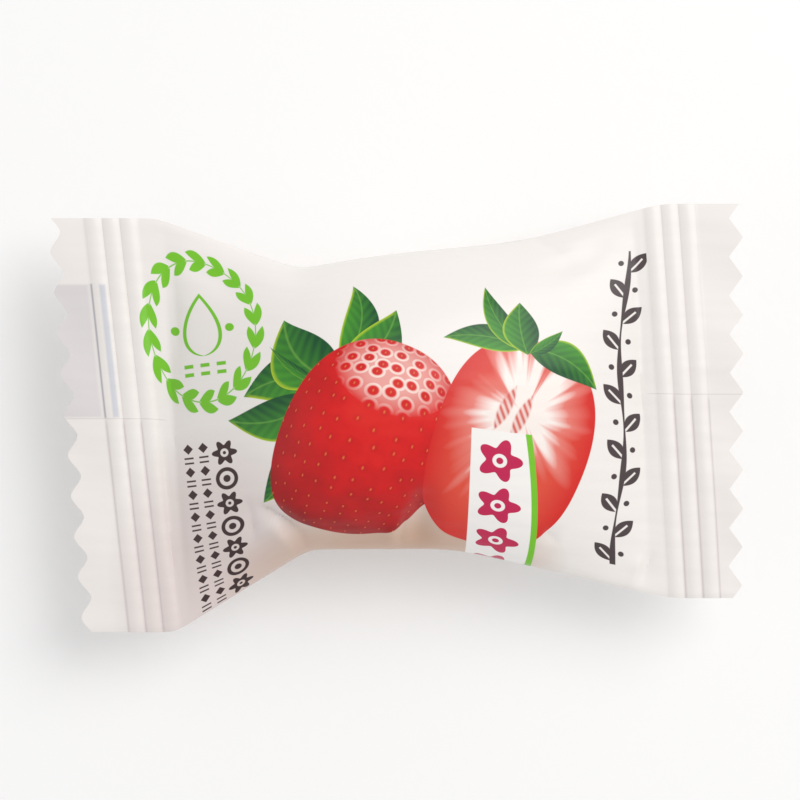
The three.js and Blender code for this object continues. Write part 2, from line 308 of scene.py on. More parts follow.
# %% [markdown]
# Now the sheet is bent round. `around` is how far a corner of the grid lies from the middle of
# the front, in mm of film. Past a quarter of the girth it is on the back, where the two long edges
# meet at the root of the back seal.

# %% The tube
FIN_ROOT, FIN_WIDTH = 0.5, 9.6

def wrap(around):
    """Which side of the pack a distance round the tube lies on, and how far across that side."""
    around = (around + 2 * FLAT_HALF) % (4 * FLAT_HALF) - 2 * FLAT_HALF
    side = np.where(np.abs(around) <= FLAT_HALF + 1e-6, 1, -1)
    across = np.where(side > 0, around, np.sign(around) * 2 * FLAT_HALF - around) / FLAT_HALF
    return np.clip(across, -1, 1), side

def place_corners(piece, points):
    piece.data.vertices.foreach_set("co", (points * MM).ravel())
    piece.data.update()

around = (share_round * 4 - 2) * FLAT_HALF - FIN_ROOT
across, side = wrap(around)
place_corners(pack, folded_point(station, across, side))
print("tube of", round(4 * FLAT_HALF, 1), "mm girth")

# %% [markdown]
# The print belongs to the flat web, so its coordinates are stored before the tube is closed:
# one unit of the map is 100 mm of film, and the middle of the front is at (0.5, 0.5).

# %% The print map
MAP_SPAN = 100.0

def store_map(piece, along, across_film):
    layer = piece.data.uv_layers.active or piece.data.uv_layers.new()
    layer.name = "film"
    corner = np.empty(len(piece.data.loops), int)
    piece.data.loops.foreach_get("vertex_index", corner)
    uv = np.stack([along[corner], across_film[corner]], axis=-1) / MAP_SPAN + 0.5
    layer.data.foreach_set("uv", uv.ravel())

store_map(pack, station, around)
print("print map:", pack.data.uv_layers.active.name)

# %% [markdown]
# The two long edges of the sheet now lie on each other, at the root of the back seal. Merging
# their corners turns the sheet into a tube. Its open ends lie beyond the line of the teeth, where
# the knives will take them off, so each is simply filled with one face. A Boolean only cuts a
# closed solid cleanly, and that is why the open edges are counted.

# %% Close the tube
def fill_open_ends(piece):
    activate(piece)
    bpy.ops.object.mode_set(mode="EDIT")
    bpy.ops.mesh.select_all(action="SELECT")
    bpy.ops.mesh.remove_doubles(threshold=1e-7)
    bpy.ops.mesh.select_all(action="DESELECT")
    bpy.ops.mesh.select_mode(type="EDGE")
    bpy.ops.mesh.select_non_manifold(extend=False)
    bpy.ops.mesh.fill_holes(sides=0)
    bpy.ops.mesh.select_all(action="SELECT")
    bpy.ops.mesh.normals_make_consistent(inside=False)
    bpy.ops.object.mode_set(mode="OBJECT")

def open_edges(piece):
    shape = bmesh.new()
    shape.from_mesh(piece.data)
    count = sum(not edge.is_manifold for edge in shape.edges)
    volume = shape.calc_volume(signed=True) / MM ** 3
    shape.free()
    return count, round(volume, 1)

fill_open_ends(pack)
print("open edges and volume in mm3:", open_edges(pack))

# %% [markdown]
# The back seal is where the web's two long edges are welded face to face. It stands off the tube
# like a fin and is folded flat. It follows the underside, so it is a second sheet laid on the
# same surface, and Solidify gives it the thickness of two films.

# %% The back seal
FIN_LIFT = 0.05
FIN_SQUARES = 40

fin = film_sheet("back_seal", len(marks) - 1, FIN_SQUARES)
grid = corner_places(fin) + 0.5
fin_station = marks[np.rint(grid[:, 0] * (len(marks) - 1)).astype(int)]
fin_across = (FIN_ROOT + FIN_WIDTH * grid[:, 1]) / FLAT_HALF
back = np.full(len(fin_across), -1)
fin_points = folded_point(fin_station, fin_across, back)
fin_points += film_normal(fin_station, fin_across, back) * FIN_LIFT
place_corners(fin, fin_points)
store_map(fin, fin_station, -2 * FLAT_HALF - fin_across * FLAT_HALF)

activate(fin)
bpy.ops.object.mode_set(mode="EDIT")
bpy.ops.mesh.select_all(action="SELECT")
bpy.ops.mesh.flip_normals()
bpy.ops.object.mode_set(mode="OBJECT")
bpy.ops.object.modifier_add(type="SOLIDIFY")
fin.modifiers[-1].thickness = SEAL_THICKNESS * MM
fin.modifiers[-1].offset = 1
bpy.ops.object.modifier_apply(modifier=fin.modifiers[-1].name)
print("open edges and volume of the back seal:", open_edges(fin))

# %% [markdown]
# The knife that parts one pack from the next has teeth. Each knife here is a strip whose near
# edge is moved to the teeth and which is then extruded upwards, and a Boolean takes it from the
# film. The left end was cut by a worn knife, so its teeth are round, and the right end's are
# sharp.

# %% The toothed cuts
LEFT_TOOTH_PITCH, RIGHT_TOOTH_PITCH = 2.95, 2.81
LEFT_TOOTH_DEPTH, RIGHT_TOOTH_DEPTH = 0.85, 1.0
LEFT_TOOTH_ROUNDNESS, RIGHT_TOOTH_ROUNDNESS = 0.75, 0.1
FIRST_TOOTH = 2.48              # from the upper edge to the first tip
STEPS_PER_TOOTH = 16
KNIFE_TEETH, SPARE_TEETH = 16, 3        # on the whole blade, and above the first tip
KNIFE_HEIGHT, KNIFE_WIDTH = 24, 6

def tooth_shape(phase, roundness):
    """0 at a tip and 1 at a valley, for a phase of 0 at the tip."""
    sharp = 1 - np.abs(1 - 2 * (phase % 1))
    soft = 0.5 - 0.5 * np.cos(2 * math.pi * phase)
    return mix(sharp, soft, roundness)

def knife(name, tips, pitch, depth, lean, outward, first_tip, roundness):
    blade = film_sheet(name, 1, KNIFE_TEETH * STEPS_PER_TOOTH)
    grid = corner_places(blade) + 0.5
    y = first_tip + pitch * (SPARE_TEETH - KNIFE_TEETH * grid[:, 1])
    teeth = depth * tooth_shape((first_tip - y) / pitch, roundness)
    near = tips + lean * y - outward * teeth
    x = np.where(grid[:, 0] < 0.5, near, tips + outward * KNIFE_WIDTH)
    place_corners(blade, np.stack([x, y, np.full(len(x), -KNIFE_HEIGHT / 2)], axis=-1))
    activate(blade)
    bpy.ops.object.mode_set(mode="EDIT")
    bpy.ops.mesh.select_all(action="SELECT")
    bpy.ops.mesh.extrude_region_move(TRANSFORM_OT_translate={"value": (0, 0, KNIFE_HEIGHT * MM)})
    bpy.ops.mesh.select_all(action="SELECT")
    bpy.ops.mesh.normals_make_consistent(inside=False)
    bpy.ops.object.mode_set(mode="OBJECT")
    return blade

left_knife = knife("left_knife", LEFT_TIPS, LEFT_TOOTH_PITCH, LEFT_TOOTH_DEPTH, LEFT_CUT_LEAN, -1,
                   LEFT_EDGES[0] - FIRST_TOOTH, LEFT_TOOTH_ROUNDNESS)
right_knife = knife("right_knife", RIGHT_TIPS, RIGHT_TOOTH_PITCH, RIGHT_TOOTH_DEPTH, RIGHT_CUT_LEAN, 1,
                    RIGHT_EDGES[0] - FIRST_TOOTH, RIGHT_TOOTH_ROUNDNESS)

def cut(piece, blade):
    activate(piece)
    bpy.ops.object.modifier_add(type="BOOLEAN")
    boolean = piece.modifiers[-1]
    boolean.operation, boolean.solver, boolean.object = "DIFFERENCE", "MANIFOLD", blade
    bpy.ops.object.modifier_apply(modifier=boolean.name)

for blade in (left_knife, right_knife):
    cut(pack, blade)
    cut(fin, blade)
    bpy.data.objects.remove(blade)
print("after the cuts, open edges and volume:", open_edges(pack), open_edges(fin))

# %% [markdown]
# Lying down, the sweet presses the underside flat. Every corner below the table's height is
# pushed up to it, with a soft rim. Then both pieces are moved so that they lie where the CAD
# pack lies.

# %% Lay it down
REST_DEPTH = 0.4
FIN_STACK = FIN_LIFT + SEAL_THICKNESS + 0.01    # from the table up to the film above the back seal
SMOOTH_UNDER = 35               # edges that turn by fewer degrees are shaded smooth

def press_flat(piece, height, softness=0.05):
    points = corner_places(piece) / MM
    points[:, 2] = soft_max([points[:, 2], np.full(len(points), height)], softness)
    place_corners(piece, points)

table = corner_places(fin)[:, 2].min() / MM + REST_DEPTH
press_flat(fin, table)
press_flat(pack, table + FIN_STACK)

both = np.concatenate([corner_places(pack), corner_places(fin)])
low, high = both.min(axis=0), both.max(axis=0)
cad_middle = (cad_low + cad_high) / 2
move = Vector((cad_middle.x - (low[0] + high[0]) / 2, cad_middle.y - (low[1] + high[1]) / 2,
               cad_low.z - low[2]))
for piece in (pack, fin):
    piece.data.transform(Matrix.Translation(move))
    activate(piece)
    bpy.ops.object.shade_smooth_by_angle(angle=math.radians(SMOOTH_UNDER))
print("moved by", [round(v / MM, 2) for v in move], "mm; box in mm", np.round((high - low) / MM, 2))

# %% [markdown]
# The looks come from shader nodes. A print is drawn with numbers that vary over the film, such as
# the distance from a leaf's middle line, and each sum or product of them is one Math node. The
# small class below makes those nodes from ordinary arithmetic, so that a shape can be read as a
# formula. Colours are written as 0 to 255, as a printer's proof would give them.

# %% Numbers that vary over the film
class Field:
    """A number at every point of the film: the output of a shader node."""

    def __init__(self, tree, socket):
        self.tree, self.socket = tree, socket

    def math(self, operation, *others, clamp=False):
        node = self.tree.nodes.new("ShaderNodeMath")
        node.operation, node.use_clamp = operation, clamp
        for slot, value in zip(node.inputs, (self, *others)):
            feed(self.tree, slot, value)
        return Field(self.tree, node.outputs[0])

    def __add__(self, other):
        return self.math("ADD", other)

    def __sub__(self, other):
        return self.math("SUBTRACT", other)

    def __mul__(self, other):
        return self.math("MULTIPLY", other)

    def __abs__(self):
        return self.math("ABSOLUTE")

    def times_plus(self, factor, term):
        return self.math("MULTIPLY_ADD", factor, term)

    def __rsub__(self, other):
        return self.times_plus(-1, other)

    def clamped(self, factor=1):
        return self.math("MULTIPLY", factor, clamp=True)

    def least(self, other):
        return self.math("MINIMUM", other)

    def most(self, other):
        return self.math("MAXIMUM", other)

def feed(tree, slot, value):
    if isinstance(value, Field):
        tree.links.new(value.socket, slot)
    else:
        slot.default_value = value

def ink(red, green, blue):
    """A printer's 0 to 255 colour as the linear colour that shaders use."""
    def linear(level):
        level = level / 255
        return level / 12.92 if level <= 0.04045 else ((level + 0.055) / 1.055) ** 2.4
    return (linear(red), linear(green), linear(blue), 1)

print("half of 255 as a linear level:", round(ink(127.5, 0, 0)[0], 3))

# %% [markdown]
# Each motif is drawn in its own small frame: a Mapping node of type Texture undoes the motif's
# place, turn and size, so that inside it x and y run from -1 to 1. `paint` lays one ink over what
# is already printed, where a mask is 1.

# %% Placing and painting
EDGE = 0.05                     # softness of a printed edge, in mm
MIX_FACTOR, MIX_UNDER, MIX_OVER, MIX_RESULT = 0, 6, 7, 2     # the Mix node's colour sockets

def film_place(tree):
    """The place on the flat film in mm, as a vector."""
    film_map = tree.nodes.new("ShaderNodeUVMap")
    film_map.uv_map = "film"
    place = tree.nodes.new("ShaderNodeVectorMath")
    place.operation = "MULTIPLY_ADD"
    place.inputs[1].default_value = (MAP_SPAN, MAP_SPAN, 0)
    place.inputs[2].default_value = (-MAP_SPAN / 2, -MAP_SPAN / 2, 0)
    tree.links.new(film_map.outputs["UV"], place.inputs[0])
    return Field(tree, place.outputs[0])

def local_place(place, centre, turn=0, size=(1, 1)):
    """The same place, seen from a motif: centred, turned by degrees and scaled."""
    node = place.tree.nodes.new("ShaderNodeMapping")
    node.vector_type = "TEXTURE"
    node.inputs["Location"].default_value = (*centre, 0)
    node.inputs["Rotation"].default_value = (0, 0, math.radians(turn))
    node.inputs["Scale"].default_value = (*size, 1)
    place.tree.links.new(place.socket, node.inputs["Vector"])
    return Field(place.tree, node.outputs[0])

def parts(place):
    node = place.tree.nodes.new("ShaderNodeSeparateXYZ")
    place.tree.links.new(place.socket, node.inputs[0])
    return Field(place.tree, node.outputs["X"]), Field(place.tree, node.outputs["Y"])

def motif(place, centre, turn=0, size=(1, 1)):
    return parts(local_place(place, centre, turn, size))

def paint(under, over, mask):
    """Lays one colour over another where the mask is 1. Either may be a Field or an ink."""
    node = mask.tree.nodes.new("ShaderNodeMix")
    node.data_type = "RGBA"
    feed(mask.tree, node.inputs[MIX_FACTOR], mask)
    feed(mask.tree, node.inputs[MIX_UNDER], under)
    feed(mask.tree, node.inputs[MIX_OVER], over)
    return Field(mask.tree, node.outputs[MIX_RESULT])

print("printed edges are", EDGE, "mm soft")

# %% [markdown]
# A leaf is a lens shape: its half width is a parabola along the leaf, a little broader near the
# base, and its middle line is bent by another parabola. The same distance that cuts it out also
# gives its ribs and its pale edge. All the leaves of both fruits are this one function.

# %% A printed leaf
LEAF_DARK, LEAF_LIGHT = ink(2, 78, 36), ink(74, 160, 40)
LEAF_RIB, LEAF_EDGE = ink(120, 184, 70), ink(188, 212, 36)
LEAF_STREAKS, STREAK_SLANT = 24, 13     # radians of side ribs along half a leaf and across it

def paint_leaf(colour, place, base, tip, width, bend):
    run = (tip[0] - base[0], tip[1] - base[1])
    middle = ((tip[0] + base[0]) / 2, (tip[1] + base[1]) / 2)
    x, y = motif(place, middle, math.degrees(math.atan2(run[1], run[0])),
                 (math.hypot(*run) / 2, width / 2))
    square = x * x
    half = (1 - square) * x.times_plus(-0.3, 1).most(0)
    side = square.times_plus(bend, y) - bend
    away = abs(side)
    inside = half - away
    streaks = (x * LEAF_STREAKS - away * STREAK_SLANT).math("SINE").times_plus(0.1, 0.4)
    green = paint(LEAF_DARK, LEAF_LIGHT, (streaks + side * 0.45).clamped())
    green = paint(green, LEAF_RIB, away.times_plus(-14, 0.9).clamped(0.6))
    green = paint(green, LEAF_EDGE, inside.times_plus(-6, 1).clamped().least(side.clamped(4)))
    return paint(colour, green, inside.clamped(width / 2 / EDGE))

print("side ribs on one side of a leaf:", round(LEAF_STREAKS / math.pi))

# %% [markdown]
# A strawberry's outline is a full oval: a circle stretched along the fruit, wider at one end, and
# with its powers raised a little above 2 so that it fills out. `reach` is 0 in the middle and 1 at
# the outline, so it shades the fruit as well. The seeds sit in the cells of a Voronoi texture,
# whose place is stretched towards the outline to make the flat print look round. Where the light
# falls, the rim of each seed's pit shines nearly white.

# %% The whole strawberry
BERRY_DEEP, BERRY_RED, BERRY_BRIGHT = ink(142, 2, 10), ink(222, 12, 14), ink(236, 52, 34)
BERRY_SHINE, BERRY_SEED = ink(252, 226, 216), ink(236, 120, 60)
WHOLE_CENTRE, WHOLE_TURN, WHOLE_SIZE = (-2.7, -3.3), -25, (6.3, 8.1)
WHOLE_SHOULDER, WHOLE_POWER = 0, 2.25
SHINE_CENTRE, SHINE_TURN, SHINE_SIZE = (-0.3, 1.9), -24, (4.3, 2.8)
SEED_PITCH, PIT_RADIUS = 1.5, 0.62

def berry(place, centre, turn, size, shoulder, power):
    """The place across and along a berry, and how far out it is, with 1 at the outline.

    shoulder is how much wider the fruit is at its crown than at its middle.
    """
    x, y = motif(place, centre, turn, size)
    across = x.math("DIVIDE", y.times_plus(shoulder, 1))
    powers = [abs(way).math("POWER", power) for way in (across, y)]
    return across, y, (powers[0] + powers[1]).math("POWER", 1 / power)

def seed_cells(place, reach):
    """The distance to the nearest seed, in mm, and the place measured from it."""
    tree = place.tree
    rounded = tree.nodes.new("ShaderNodeVectorMath")
    rounded.operation = "SCALE"
    tree.links.new(place.socket, rounded.inputs[0])
    feed(tree, rounded.inputs["Scale"], (reach * reach).times_plus(0.4, 1))
    cells = tree.nodes.new("ShaderNodeTexVoronoi")
    cells.voronoi_dimensions = "2D"
    cells.inputs["Scale"].default_value = 1 / SEED_PITCH
    cells.inputs["Randomness"].default_value = 0.42
    tree.links.new(rounded.outputs[0], cells.inputs["Vector"])
    from_seed = tree.nodes.new("ShaderNodeVectorMath")
    from_seed.operation = "SUBTRACT"
    tree.links.new(rounded.outputs[0], from_seed.inputs[0])
    tree.links.new(cells.outputs["Position"], from_seed.inputs[1])
    distance = Field(tree, cells.outputs["Distance"]) * SEED_PITCH
    return distance, parts(Field(tree, from_seed.outputs[0]))

def mottle(place, scale, detail=2):
    node = place.tree.nodes.new("ShaderNodeTexNoise")
    node.noise_dimensions = "2D"
    node.inputs["Scale"].default_value = scale
    node.inputs["Detail"].default_value = detail
    place.tree.links.new(place.socket, node.inputs["Vector"])
    return Field(place.tree, node.outputs["Fac"])

def paint_whole_berry(colour, place):
    across, along, reach = berry(place, WHOLE_CENTRE, WHOLE_TURN, WHOLE_SIZE,
                                 WHOLE_SHOULDER, WHOLE_POWER)
    shade = (reach * reach).times_plus(-0.5, 0.72)
    light = across.times_plus(0.05, along * 0.4)
    tone = shade + light + mottle(place, 0.45) * 0.55
    skin = paint(BERRY_DEEP, BERRY_RED, tone.clamped())
    skin = paint(skin, BERRY_BRIGHT, tone.times_plus(1.6, -1.5).clamped(0.8))
    distance, (seed_x, seed_y) = seed_cells(local_place(place, WHOLE_CENTRE, WHOLE_TURN), reach)
    pit = distance.times_plus(-2.2, 1).clamped(0.3)
    skin = paint(skin, BERRY_DEEP, pit)
    shine_x, shine_y = motif(place, SHINE_CENTRE, SHINE_TURN, SHINE_SIZE)
    shine = shine_x * shine_x + shine_y * shine_y
    shine = shine.times_plus(-1.2, 1.2).clamped()
    rim = (1 - abs(distance - PIT_RADIUS) * 4.5).clamped(1.4)
    between = distance.times_plus(4, -4 * PIT_RADIUS).clamped().least(0.5)
    skin = paint(skin, BERRY_SHINE, shine * rim.most(between))
    seed = (seed_x * seed_x).times_plus(60, (seed_y * seed_y) * 18)
    skin = paint(skin, BERRY_SEED, seed.times_plus(-3, 2).clamped(0.4))
    return paint(colour, skin, (1 - reach).clamped(WHOLE_SIZE[0] / EDGE))

WHOLE_LEAVES = (                # base, tip, width, bend
    ((-4.6, 1.8), (-11.0, 1.6), 3.6, -0.5),
    ((-5.6, 0.8), (-12.3, 0.1), 3.2, 0.5),
    ((-7.4, -1.6), (-10.4, -6.6), 2.6, 0.5),
    ((-4.2, 1.6), (-7.7, 7.3), 4.4, 0.5),
    ((-4.0, 2.6), (-2.7, 9.7), 2.6, -0.8),
    ((-4.0, 2.4), (0.2, 6.9), 3.4, -0.55),
    ((-5.2, 1.4), (-8.9, 5.2), 0.7, 0.6),
)
print(len(WHOLE_LEAVES), "leaves behind the whole strawberry")

# %% [markdown]
# The cut strawberry has the same kind of outline. Its flesh is red at the skin and paler inside,
# round a white core. The pale rays are noise that is read from the direction to the core alone,
# so that each ray gets its own length. Two hatched lenses stand for the hollows in the core.

# %% The cut strawberry
FLESH_RIM, FLESH, FLESH_PINK = ink(216, 30, 24), ink(226, 78, 58), ink(240, 156, 146)
CORE_WHITE, CORE_PINK = ink(252, 242, 236), ink(214, 84, 70)
CUT_CENTRE, CUT_TURN, CUT_SIZE = (7.4, -4.1), -22, (5.5, 9.0)
CUT_SHOULDER, CUT_POWER = 0.08, 2.35
CORE_CENTRE, CORE_SIZE = (8.7, -0.9), (2.5, 4.6)
HOLLOW_CENTRE, HOLLOW_SIZE, HOLLOWS_APART = (8.0, -0.8), (0.5, 2.0), 2.6

def rays(place, count):
    """Noise that depends only on the direction from the middle of a motif, about 0.5."""
    tree = place.tree
    direction = tree.nodes.new("ShaderNodeVectorMath")
    direction.operation = "NORMALIZE"
    tree.links.new(place.socket, direction.inputs[0])
    return mottle(Field(tree, direction.outputs[0]), count, 1)

def paint_cut_berry(colour, place):
    _, _, reach = berry(place, CUT_CENTRE, CUT_TURN, CUT_SIZE, CUT_SHOULDER, CUT_POWER)
    core = local_place(place, CORE_CENTRE, CUT_TURN, CORE_SIZE)
    core_x, core_y = parts(core)
    from_core = (core_x * core_x + core_y * core_y).math("SQRT")
    fine_ray = rays(core, 7)
    ray_length = rays(core, 2.2).times_plus(1.9, fine_ray * 1.1) - 0.3
    flesh = paint(FLESH, FLESH_RIM, reach.times_plus(2.4, -1.4).clamped())
    flesh = paint(flesh, FLESH_PINK, (ray_length - from_core).times_plus(1.1, 0.75).clamped(0.8))
    flesh = paint(flesh, CORE_WHITE, (ray_length - from_core).times_plus(1.8, 0.1).clamped())
    x, y = motif(place, HOLLOW_CENTRE, CUT_TURN - 8, HOLLOW_SIZE)
    hollow = (1 - y * y) - abs(abs(x) - HOLLOWS_APART / 2)
    hatch = (y * 22 + x * 5).math("SINE").times_plus(0.35, 0.6)
    flesh = paint(flesh, CORE_PINK, hollow.clamped(3) * hatch)
    return paint(colour, flesh, (1 - reach).clamped(CUT_SIZE[0] / EDGE))

CUT_LEAVES = (
    ((9.3, 3.9), (3.3, 4.5), 2.0, -0.5),
    ((9.3, 3.9), (14.2, 0.8), 2.6, 0.6),
    ((9.4, 3.6), (6.6, 9.0), 1.8, 0.8),
    ((9.3, 3.4), (9.0, 7.6), 2.6, 0.2),
    ((9.4, 3.5), (12.0, 5.3), 1.0, -0.4),
)
print(len(CUT_LEAVES), "leaves on the cut strawberry")

# %% [markdown]
# In front of the cut fruit is a plain white label that runs down over the edge of the pack. A
# column of magenta blossoms stands on it, and a lime stripe bows out along its right edge. A
# blossom's petals come from a cosine of five times the angle, and their column from a modulo.

# %% The label
LABEL_CENTRE, LABEL_TURN, LABEL_SIZE = (6.3, -9.9), -5, (2.05, 7.8)
LABEL_WHITE, MAGENTA, LIME = ink(250, 247, 244), ink(198, 28, 82), ink(120, 200, 40)
BLOSSOM_PITCH, BLOSSOM_RADIUS = 3.75, 1.7
STRIPE_BOW, STRIPE_WIDTH = 0.7, 0.5

def blossom(x, y, petals, radius, notch):
    """How far inside a blossom a point lies, and how far it is from the blossom's middle."""
    away = (x * x + y * y).math("SQRT")
    wave = (y.math("ARCTAN2", x) * petals).math("COSINE")
    return wave.times_plus(radius * notch, radius * (1 - notch)) - away, away

def repeated(along, pitch):
    """The place along one repeat, from its middle, and 0 or 1 for even and odd repeats."""
    middle = along.math("FLOORED_MODULO", pitch) - pitch / 2
    return middle, (along * (1 / pitch)).math("FLOOR").math("FLOORED_MODULO", 2)

def paint_label(colour, place):
    x, y = motif(place, LABEL_CENTRE, LABEL_TURN)
    bow = (y * y).times_plus(-STRIPE_BOW / LABEL_SIZE[1] ** 2, STRIPE_BOW + LABEL_SIZE[0])
    beyond = x - bow
    ends = LABEL_SIZE[1] - abs(y)
    panel = (x + LABEL_SIZE[0]).least(beyond * -1).least(ends)
    colour = paint(colour, LABEL_WHITE, panel.clamped(1 / EDGE))
    stripe = (STRIPE_WIDTH / 2 - abs(beyond)).least(ends)
    colour = paint(colour, LIME, stripe.clamped(1 / EDGE))
    row, _ = repeated(LABEL_SIZE[1] - 0.35 - y, BLOSSOM_PITCH)
    inside, away = blossom(x - 0.05, row, 5, BLOSSOM_RADIUS, 0.2)
    inside = inside.least(away - 0.5).most(0.28 - away).least(ends - 0.3)
    return paint(colour, MAGENTA, inside.clamped(1 / EDGE))

print("blossoms on the label:", round(2 * LABEL_SIZE[1] / BLOSSOM_PITCH))

# %% [markdown]
# On the left of the fruit stands an oval wreath of small lime leaves round a drop of milk. The
# angle round the wreath, cut into equal steps, gives every leaf the same small frame.

# %% The wreath
WREATH_CENTRE, WREATH_SIZE = (-13.6, 6.9), (4.35, 6.0)
WREATH_LEAVES = 18
DROP_CENTRE, DROP_HEIGHT, DROP_WIDTH = (-13.6, 7.3), 4.8, 3.0
DOTS_APART, DOTS_BELOW, DOT_RADIUS = 4.0, 0.4, 0.34
DASH_PITCH, DASHES_BELOW, DASH_ROWS_APART = 1.2, 3.35, 0.6
LINE = 0.16                     # half the width of a drawn line, in mm

def paint_wreath(colour, place):
    x, y = motif(place, WREATH_CENTRE, 0, WREATH_SIZE)
    away = (x * x + y * y).math("SQRT")
    step = (y.math("ARCTAN2", x) * (WREATH_LEAVES / (2 * math.pi))).math("FLOORED_MODULO", 1)
    along = step * 2 - 1
    half = (1 - along * along) * 0.075
    outer = half - abs(away - along.times_plus(0.05, 0.95))
    inner = half - abs(away - along.times_plus(-0.05, 0.82))
    ring = 0.014 - abs(away - 0.885)
    green = outer.most(inner).most(ring)
    colour = paint(colour, LIME, green.clamped(WREATH_SIZE[0] / EDGE))
    x, y = motif(place, DROP_CENTRE, 0, (DROP_WIDTH / 2, DROP_HEIGHT))
    up = y + 0.5
    width = (1 - up) * up.most(0).math("SQRT") * 2.6
    drop = (LINE - abs((width - abs(x)) * (DROP_WIDTH / 2) - 0.2)).least((0.5 - abs(y)) * 9)
    x, y = motif(place, DROP_CENTRE)
    dash, _ = repeated(x + DASH_PITCH / 2, DASH_PITCH)
    dash_row = LINE - abs(abs(y + DASHES_BELOW) - DASH_ROWS_APART / 2)
    dashes = (0.36 - abs(dash)).least(dash_row).least(1.9 - abs(x))
    dot_x, dot_y = abs(x) - DOTS_APART / 2, y + DOTS_BELOW
    dots = DOT_RADIUS - (dot_x * dot_x + dot_y * dot_y).math("SQRT")
    return paint(colour, LIME, drop.most(dashes).most(dots).clamped(1 / EDGE))

print("pairs of leaves in the wreath:", WREATH_LEAVES)

# %% [markdown]
# Below the wreath, three columns of small dark ornaments run down to the edge of the pack: one
# of blossoms and rings, and two fine ones of diamonds. The two fine columns are one column that
# is mirrored by an absolute value.

# %% The dark columns
DARK = ink(62, 42, 42)
COLUMN_TOP, COLUMN_BOTTOM = -1.2, -14.6
WIDE_COLUMN_X, WIDE_PITCH = -12.75, 1.92
FINE_COLUMNS_X, FINE_APART, FINE_PITCH = -14.9, 1.15, 0.84

def paint_columns(colour, place):
    x, y = motif(place, (WIDE_COLUMN_X, COLUMN_TOP))
    row, odd = repeated(y * -1, WIDE_PITCH)
    petals, away = blossom(x, row, 6, 0.98, 0.2)
    petals = petals.least(away - 0.28).most(0.15 - away)
    ring = (0.17 - abs(away - 0.7)).most(0.3 - away)
    wide = petals.times_plus(1 - odd, ring * odd)
    x, y = motif(place, (FINE_COLUMNS_X, COLUMN_TOP))
    row, odd = repeated(y * -1, FINE_PITCH)
    x = abs(x) - FINE_APART / 2
    diamond = 0.4 - (abs(x) + abs(row))
    bars = (0.38 - abs(x)).least(0.09 - abs(abs(row) - 0.18))
    fine = diamond.times_plus(1 - odd, bars * odd)
    length = (y * -1).least(y + (COLUMN_TOP - COLUMN_BOTTOM))
    return paint(colour, DARK, wide.most(fine).least(length).clamped(1 / EDGE))

print("ornaments in the wide column:", round((COLUMN_TOP - COLUMN_BOTTOM) / WIDE_PITCH))

# %% [markdown]
# A dark brushed sprig runs down the right side of the front. Its stem is a sine that swells and
# thins like a brush line, and its leaves stand left and right of it by turns.

# %% The sprig
SPRIG_TOP, SPRIG_BOTTOM, SPRIG_X = 11.7, -12.9, 16.05     # the height is 12 repeats
BRUSH = ink(74, 62, 64)
SPRIG_TURN, SPRIG_PITCH = -5.2, 2.05
SPRIG_LEAF_BASE = -0.68         # where a leaf starts, from the middle of its repeat
SPRIG_LEAF_LENGTH, SPRIG_LEAF_WIDTH, SPRIG_LEAF_TURN = 2.0, 1.15, 43

def paint_sprig(colour, place):
    x, y = motif(place, (SPRIG_X, 0), SPRIG_TURN)
    stem = (y * 0.42).math("SINE") * -0.3
    swell = (y * 0.9).math("SINE").times_plus(0.08, 0.17)
    from_stem = x - stem
    line = swell - abs(from_stem)
    row, odd = repeated(y - SPRIG_BOTTOM, SPRIG_PITCH)
    outwards = from_stem * odd.times_plus(2, -1)
    cosine, sine = math.cos(math.radians(SPRIG_LEAF_TURN)), math.sin(math.radians(SPRIG_LEAF_TURN))
    from_base = row - SPRIG_LEAF_BASE
    along = (outwards * sine + from_base * cosine) * (2 / SPRIG_LEAF_LENGTH) - 0.95
    across = from_base * sine - outwards * cosine
    leaf = (1 - along * along) * (SPRIG_LEAF_WIDTH / 2) - abs(across)
    rib = (0.05 - abs(across)).least(0.4 - along)
    leaf = leaf.least(rib * -1)
    dot_x = outwards + 0.62
    dot = 0.24 - (dot_x * dot_x + row * row).math("SQRT")
    ends = (SPRIG_TOP - y).least(y - SPRIG_BOTTOM)
    return paint(colour, BRUSH, line.most(leaf).most(dot).least(ends).clamped(1 / EDGE))

print("leaves on the sprig:", round((SPRIG_TOP - SPRIG_BOTTOM) / SPRIG_PITCH))

# %% [markdown]
# The film itself is pearly white with a soft gloss. Its lower left is painted darker and rosier, as
# painted shade. It is thin, so what lies under it shows through a little: the sweet warms it low on the
# front, a tint that is also painted shade along the lower front. The folded back seal greys the left end
# band; a dark line where the crimp begins is a painted shadow, and a grey stripe beside it is painted
# shade. A fine line runs over the seal's root across both ends. The grooves of the crimp are darkened
# with painted shade, more where no back seal lies under them. The fine bump is the film's own texture,
# drawn out along the web.

# %% Pearly film
FILM_WHITE, SWEET_TINT_AND_SHADE = ink(244, 239, 235), ink(206, 171, 148)
# The groove grey is painted shade, also used for the line over the seal's root; the border grey is a
# painted shadow and the seal edge grey painted shade.
OVER_SEAL, GROOVE_SHADE_AND_ROOT_GREY, BORDER_SHADOW_GREY = ink(227, 222, 222), ink(206, 194, 196), ink(140, 143, 160)
SEAL_EDGE_SHADE, SEAL_EDGE_AT, SEAL_EDGE_HALF = ink(214, 215, 222), 0.8, 0.3
# The warm tint of the sweet showing through, which is also painted shade along the lower front.
SWEET_SHADE_CENTRE, SWEET_SHADE_SIZE = (-1.6, -13.6), (12.5, 6.6)
# Painted shade: a darker, rosier tone over the film's lower left.
LOWER_LEFT_SHADE, LOWER_LEFT_SHADE_CENTRE, LOWER_LEFT_SHADE_SIZE = ink(220, 203, 200), (-14.0, -12.0), (8.5, 12.0)
# The line along the left crimp's outer border is a painted shadow.
ROOT_LINE = 0.06                # half the width of the line over the back seal's root
BORDER_SHADOW_LINE = 0.12              # and of the one along the left crimp's outer border

